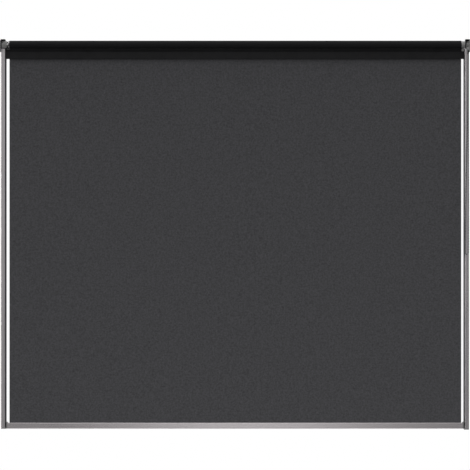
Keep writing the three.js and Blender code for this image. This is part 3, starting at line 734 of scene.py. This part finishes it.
def make_idle_side(looks):
    """The fixed idle housing, the plug in the tube and the spring-loaded pin between them."""
    lowest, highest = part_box("idle_housing")
    drum = (highest.z - lowest.z) / 2
    pin_r = 4.1 * MM
    mouth = highest.x
    back = lowest.x
    rib = 0.5 * MM
    steps = []
    for x in (mouth - 4.2 * MM, mouth - 6.4 * MM):  # two shallow finger grooves
        steps += [(x + 0.6 * MM, drum), (x + 0.3 * MM, drum - rib), (x - 0.3 * MM, drum - rib),
                  (x - 0.6 * MM, drum)]
    profile = [(mouth, pin_r), (mouth, pin_r + 1.2 * MM), (mouth - 0.7 * MM, pin_r + 1.7 * MM),
               (mouth - 0.7 * MM, drum - 2.2 * MM), (mouth, drum - 1.7 * MM), (mouth, drum - 0.8 * MM),
               (mouth - 0.25 * MM, drum - 0.25 * MM), (mouth - 0.8 * MM, drum), *steps,
               (back + 0.8 * MM, drum), (back + 0.25 * MM, drum - 0.25 * MM), (back, drum - 0.8 * MM),
               (back, 2.3 * MM), (back + 6.8 * MM, 2.3 * MM), (back + 6.8 * MM, 0.4 * MM),
               (back + 9.3 * MM, 0.4 * MM), (back + 9.3 * MM, pin_r)]
    housing = Builder().lathe(profile[::-1], AXIS).made("idle_housing_moulding", 30.0)
    place(housing, "frame", "grey_plastic", looks["grey"], "idle_housing")

    lowest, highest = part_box("idle_plug")
    tube_end = low("roller_tube").x
    body_r = 12.5 * MM
    x = highest.x
    pitch = 6.0 * MM
    ribs = []
    while x > tube_end + pitch:
        ribs += [(x, body_r - 0.5 * MM), (x - 0.5 * MM, body_r), (x - pitch + 1.2 * MM, body_r),
                 (x - pitch + 0.7 * MM, body_r - 0.5 * MM)]
        x -= pitch
    start = tube_end - 0.8 * MM
    chamber = [(-0.860, pin_r), (-0.860, 8 * MM), (-0.836, 8 * MM), (-0.836, 1 * MM)]
    builder = Builder()
    keyway(builder, [(highest.x, 1 * MM), *ribs, (start, body_r - 0.5 * MM), (start, pin_r), *chamber])
    fluted(builder, lowest.x, tube_end - 0.3 * MM, 13.4 * MM, pin_r, 36, 0.35 * MM, 0.4 * MM)
    plug = builder.made("idle_plug_moulding", 30.0)
    place(plug, "roller", "dark_plastic", looks["dark"], "idle_plug")

    tip = low("idle_pin").x
    tail = high("idle_pin").x
    pin_r = 4.0 * MM
    profile = [(tip, 0.1 * MM), (tip, pin_r - 1.3 * MM), (tip + 0.25 * MM, pin_r - 0.7 * MM),
               (tip + 0.8 * MM, pin_r - 0.15 * MM), (tip + 1.4 * MM, pin_r), (tip + 5.2 * MM, pin_r),
               (tip + 5.4 * MM, pin_r - 0.35 * MM), (tip + 6.0 * MM, pin_r - 0.35 * MM),
               (tip + 6.2 * MM, pin_r), (-0.8597, pin_r), (-0.8597, 7.1 * MM), (-0.8594, 7.4 * MM),
               (-0.8583, 7.4 * MM), (-0.858, 7.1 * MM), (-0.858, 2.5 * MM), (tail - 0.5 * MM, 2.5 * MM),
               (tail, 2.0 * MM), (tail, 0.1 * MM)]
    pin = Builder().lathe(profile, AXIS, 64).made("idle_pin_turning", 30.0)
    place(pin, "idle_pin", "zinc_steel", looks["steel"], "idle_pin")


def coil_spring(name, x0, x1, radius, wire, turns):
    """A round wire wound about the roller's axis, with a closed coil at each end."""
    points = []
    steps = turns * 28
    for k in range(steps + 1):
        t = k / steps
        eased = t + 0.35 * math.sin(2 * math.pi * t) / (2 * math.pi) * -1
        angle = 2 * math.pi * turns * t
        points.append((x0 + (x1 - x0) * eased, AXIS.y + radius * math.cos(angle),
                       AXIS.z + radius * math.sin(angle)))
    builder = Builder()
    add_tube(builder, np.array(points), wire, 10)
    return builder.made(name, 60.0)


def make_springs(looks):
    lowest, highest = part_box("wrap_spring")
    wire = 0.45 * MM
    radius = (highest.z - lowest.z) / 2 - wire
    wrap = coil_spring("wrap_spring_wire", lowest.x + wire, highest.x - wire, radius, wire, 14)
    place(wrap, "chain_wheel", "zinc_steel", looks["steel"], "wrap_spring")
    lowest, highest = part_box("idle_spring")
    radius = (highest.z - lowest.z) / 2 - wire
    spring = coil_spring("idle_spring_wire", highest.x - wire, lowest.x + wire, radius, wire, 7)
    place(spring, "roller", "zinc_steel", looks["steel"], "idle_spring")
    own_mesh(spring)


# --- Screws ---------------------------------------------------------------------------------------

def screw_mesh(name, head_r, head_h, shank_r, length):
    """A cross-head screw along +Z, its head's underside at the origin, with a rolled thread."""
    sides, rings = 56, 22
    half_slot, reach, sink = 0.13 * head_r, 0.55 * head_r, 0.75 * head_h
    rows = []
    for i in range(rings + 1):
        r = head_r * (i / rings) ** 0.9
        row = []
        for k in range(sides):
            angle = 2 * math.pi * (k + 0.5) / sides
            x, y = r * math.cos(angle), r * math.sin(angle)
            dome = head_h * (1 - 0.62 * (r / head_r) ** 3)
            arm = min(abs(x), abs(y))
            wide = half_slot * (1.0 + 0.5 * max(0.0, 1 - r / reach))
            inside = min(1.0, max(0.0, (wide - arm) / (0.5 * half_slot)))
            inside *= min(1.0, max(0.0, (reach - r) / (0.2 * head_r)))
            row.append((x, y, dome - sink * inside))
        rows.append(row)
    edge = head_h * 0.38
    rim = [(head_r, edge * 0.45), (head_r * 0.97, 0.0), (shank_r, 0.0)]
    pitch = shank_r * 0.62
    steps = int(length / pitch) - 1
    for s in range(steps):
        h = -pitch * (s + 0.25)
        rim += [(shank_r * 0.8, h), (shank_r, h - pitch * 0.4)]
    rim += [(shank_r * 0.8, -length + 0.1 * MM), (shank_r * 0.6, -length), (0.02 * MM, -length)]
    for r, h in rim:
        turns = [2 * math.pi * (k + 0.5) / sides for k in range(sides)]
        rows.append([(r * math.cos(a), r * math.sin(a), h) for a in turns])
    builder = Builder()
    builder.grid(rows, closed_columns=True, caps=False)
    centre = len(builder.points)
    builder.points.append((0, 0, rows[0][0][2]))
    builder.points.append((0, 0, -length))
    last = (len(rows) - 1) * sides
    for k in range(sides):
        n = (k + 1) % sides
        builder.faces.append((centre, n, k))
        builder.faces.append((centre + 1, last + k, last + n))
    return smooth_mesh(name, builder.points, builder.faces, 38.0)


def make_screws(looks):
    """Each screw takes its place and direction from the node that it replaces."""
    kinds = {
        "bracket_screw": (3.6, 2.0, 1.9, "wall"),
        "guide_screw": (3.6, 2.0, 1.9, "wall"),
        "axis_screw": (3.7, 1.4, 1.9, "side"),
        "key_screw": (3.0, 1.4, 1.5, "side"),
        "shoe_screw": (2.8, 1.8, 1.5, "side"),
    }
    spin = random.Random(5)
    for kind, (head_r, head_h, shank_r, way) in kinds.items():
        nodes = sorted(n for n in NODES if n.startswith(kind))
        mesh = None
        for node in nodes:
            lowest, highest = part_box(node)
            centre = middle(node)
            if way == "wall":
                long = highest.y - lowest.y
                outward = Vector((0, -1, 0))
                seat = Vector((centre.x, lowest.y + head_h * MM, centre.z))
            else:
                long = highest.x - lowest.x
                outward = Vector((math.copysign(1, centre.x), 0, 0))
                face = highest.x if centre.x > 0 else lowest.x
                seat = Vector((face - outward.x * head_h * MM, centre.y, centre.z))
            if mesh is None:
                sizes = (head_r * MM, head_h * MM, shank_r * MM, long - head_h * MM)
                mesh = screw_mesh(f"{kind}_form", *sizes)
                mesh.materials.append(looks["steel"])
            screw = bpy.data.objects.new(f"{node}_cross_head", mesh)
            bpy.context.scene.collection.objects.link(screw)
            facing = outward.to_track_quat("Z", "Y").to_matrix().to_4x4()
            turn = Matrix.Rotation(spin.uniform(0, math.pi), 4, "Z")
            screw.matrix_world = Matrix.Translation(seat) @ facing @ turn
            bpy.context.view_layer.update()
            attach(screw, body_of_node(node))
            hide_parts(node)


def body_of_node(node):
    bodies = frame["record"]["behaviour"]["bodies"]
    return next(name for name, members in bodies.items() if node in members)


# --- Pile seals -----------------------------------------------------------------------------------

def make_seals(looks):
    """Brush pile: a woven base strip with tufts, each a leaning wedge of fibres."""
    for side, sign in SIDES.items():
        node = f"seal_strip_{side}"
        lowest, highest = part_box(node)
        rng = random.Random(11 + sign)
        base_y = highest.y
        base_front = base_y - 0.35 * MM
        builder = Builder()
        corners = [(lowest.x, base_y), (highest.x, base_y), (highest.x, base_front), (lowest.x, base_front)]
        rows = [[(x, y, z) for x, y in corners] for z in (lowest.z, highest.z)]
        builder.grid(rows, closed_columns=True, caps=True)
        pitch = 0.9 * MM
        count = int((highest.z - lowest.z) / pitch)
        width = highest.x - lowest.x
        columns = 4
        for k in range(count):
            for c in range(columns):
                x = lowest.x + width * (c + 0.5) / columns + rng.uniform(-0.12, 0.12) * MM
                z = lowest.z + pitch * (k + 0.5 + 0.25 * (c % 2))
                tip_y = lowest.y + rng.uniform(0, 0.35) * MM
                lean_x, lean_z = rng.uniform(-0.2, 0.2) * MM, rng.uniform(-0.25, 0.25) * MM
                half_x, half_z = 0.5 * MM, 0.42 * MM
                foot = [(x - half_x, base_front, z - half_z), (x + half_x, base_front, z - half_z),
                        (x + half_x, base_front, z + half_z), (x - half_x, base_front, z + half_z)]
                tip_x, tip_z = x + lean_x, z + lean_z
                tip = [(tip_x + (px - x) * 0.45, tip_y, tip_z + (pz - z) * 0.4) for px, _, pz in foot]
                builder.grid([foot, tip], closed_columns=True, caps=True)
        seal = builder.made(f"pile_seal_{side}", 30.0)
        place(seal, "frame", "seal_pile", looks["pile"], node)


# --- Carried-over nodes ---------------------------------------------------------------------------

def dress(node, material, width=0.25, segments=2):
    """A node whose shape is right keeps it, with its edges eased and its own material."""
    obj = NODES[node]
    mesh = obj.data
    mesh.materials.clear()
    mesh.materials.append(material)
    if "custom_normal" in mesh.attributes:
        mesh.attributes.remove(mesh.attributes["custom_normal"])
    mesh.polygons.foreach_set("use_smooth", [True] * len(mesh.polygons))
    weld = obj.modifiers.new("weld", "WELD")
    weld.merge_threshold = 0.01 * MM
    flat = obj.modifiers.new("flat", "DECIMATE")
    flat.decimate_type = "DISSOLVE"
    flat.angle_limit = math.radians(1.0)
    round_edges(obj, width * MM, segments)
    level = obj.modifiers.new("level", "WEIGHTED_NORMAL")  # broad flat faces stay flat beside their fillets
    level.keep_sharp = True
    level.weight = 100


def dress_nodes(looks):
    dress("carrier_rail", looks["hidden_rail"])
    dress("head_bar", looks["black"])
    dress("clutch_core", looks["dark"])
    dress("chain_guard", looks["grey"])
    dress("bar_clip", looks["grey"], 0.3)
    dress("sprocket", looks["dark"], 0.15)
    dress("tube_spline", looks["dark"], 0.15)
    dress("bottom_rail", looks["rail"], 0.2)
    dress("weight_bar", looks["steel"])
    dress("hem_spline", looks["dark"])
    for side in SIDES:
        dress(f"bracket_{side}", looks["black"], 0.35)
        dress(f"end_plate_{side}", looks["grey"], 0.3)
        dress(f"guide_{side}", looks["guide"], 0.2)
        dress(f"foot_plug_{side}", looks["grey"], 0.35)
        dress(f"guide_key_{side}", looks["dark"], 0.3)
        dress(f"head_bar_plug_{side}", looks["dark"], 0.3)
        dress(f"end_cap_{side}", looks["grey"], 0.25)
        dress(f"guide_shoe_{side}", looks["dark"], 0.3)


# --- Surroundings ---------------------------------------------------------------------------------

FLOOR_DROP = 2.0  # from the blind's foot to the floor


def make_floor():
    half = 2.2
    z = CAD_LOW.z - FLOOR_DROP
    floor = mesh_object("floor", [(-half, -half, z), (half, -half, z), (half, half, z), (-half, half, z)],
                        [(0, 1, 2, 3)])
    shader = Shader("pale_floor", 0.8, specular=0.1)
    shader.colour(shader.ramp(shader.noise(shader.place, scale=3.0), shades((0.7, 0.7, 0.7), 0.01)))
    floor.data.materials.append(shader.material)


def soft_box(name, place_at, aim, width, height, power):
    data = bpy.data.lights.new(name, "AREA")
    data.shape = "RECTANGLE"
    data.size = width
    data.size_y = height
    data.energy = power
    light = bpy.data.objects.new(name, data)
    light.location = place_at
    light.rotation_mode = "QUATERNION"
    light.rotation_quaternion = (Vector(aim) - Vector(place_at)).to_track_quat("-Z", "Y")
    light.visible_camera = False
    bpy.context.scene.collection.objects.link(light)


SKY = [  # brightness of the studio against the sine of the elevation, from straight down to straight up
    (-1.0, 0.03),
    (-0.2, 0.04),
    (-0.02, 0.1),
    (0.06, 0.28),
    (0.5, 0.38),
    (0.8, 1.3),
    (1.0, 3.0),
]
SKY_LEAN = 0.45  # how much brighter the studio is on the left than in the middle


def make_sky():
    """A soft studio: bright overhead, dim below and plain white to the camera itself."""
    world = bpy.data.worlds.new("studio")
    bpy.context.scene.world = world
    world.use_nodes = True
    nodes, links = world.node_tree.nodes, world.node_tree.links
    direction = nodes.new("ShaderNodeTexCoord").outputs["Generated"]
    parts = nodes.new("ShaderNodeSeparateXYZ")
    links.new(direction, parts.inputs["Vector"])
    height = nodes.new("ShaderNodeMapRange")
    height.inputs["From Min"].default_value = -1.0
    links.new(parts.outputs["Z"], height.inputs["Value"])
    ramp = nodes.new("ShaderNodeValToRGB")
    links.new(height.outputs["Result"], ramp.inputs["Fac"])
    elements = ramp.color_ramp.elements
    brightest = max(level for _, level in SKY)
    for sine, _ in SKY[1:-1]:
        elements.new((sine + 1) / 2)
    for element, (_, level) in zip(elements, SKY):
        share = level / brightest
        element.color = (share, share, share, 1)
    lean = nodes.new("ShaderNodeMapRange")
    lean.inputs["From Min"].default_value = -1.0
    lean.inputs["To Min"].default_value = brightest * (1 + SKY_LEAN)
    lean.inputs["To Max"].default_value = brightest * (1 - SKY_LEAN)
    links.new(parts.outputs["X"], lean.inputs["Value"])
    lit = nodes["Background"]
    links.new(lean.outputs["Result"], lit.inputs["Strength"])
    links.new(ramp.outputs["Color"], lit.inputs["Color"])
    seen = nodes.new("ShaderNodeBackground")
    seen.inputs["Color"].default_value = (1, 1, 1, 1)
    path = nodes.new("ShaderNodeLightPath")
    mix = nodes.new("ShaderNodeMixShader")
    links.new(path.outputs["Is Camera Ray"], mix.inputs["Fac"])
    links.new(lit.outputs["Background"], mix.inputs[1])
    links.new(seen.outputs["Background"], mix.inputs[2])
    links.new(mix.outputs["Shader"], nodes["World Output"].inputs["Surface"])


def sun(azimuth, elevation, strength, softness):
    """A soft far light, azimuth 0 in front and positive to the right."""
    data = bpy.data.lights.new("key", "SUN")
    data.energy = strength
    data.angle = math.radians(softness)
    light = bpy.data.objects.new("key", data)
    a, e = math.radians(azimuth), math.radians(elevation)
    toward = Vector((math.sin(a) * math.cos(e), -math.cos(a) * math.cos(e), math.sin(e)))
    light.rotation_mode = "QUATERNION"
    light.rotation_quaternion = toward.to_track_quat("Z", "Y")
    bpy.context.scene.collection.objects.link(light)


def make_light():
    make_sky()
    sun(azimuth=-34, elevation=9, strength=0.62, softness=24)
    soft_box("front_panel", (0.05, -4.2, -0.5), (0.05, 0.0, -0.5), width=0.9, height=2.4, power=8)


make_camera()
looks = make_looks()
make_chain(looks)
make_roll(looks)
make_drop(looks)
make_tube(looks)
make_drive_plug(looks)
make_idle_side(looks)
make_springs(looks)
make_screws(looks)
make_seals(looks)
dress_nodes(looks)
make_floor()
make_light()
bpy.context.scene.view_settings.view_transform = "Standard"
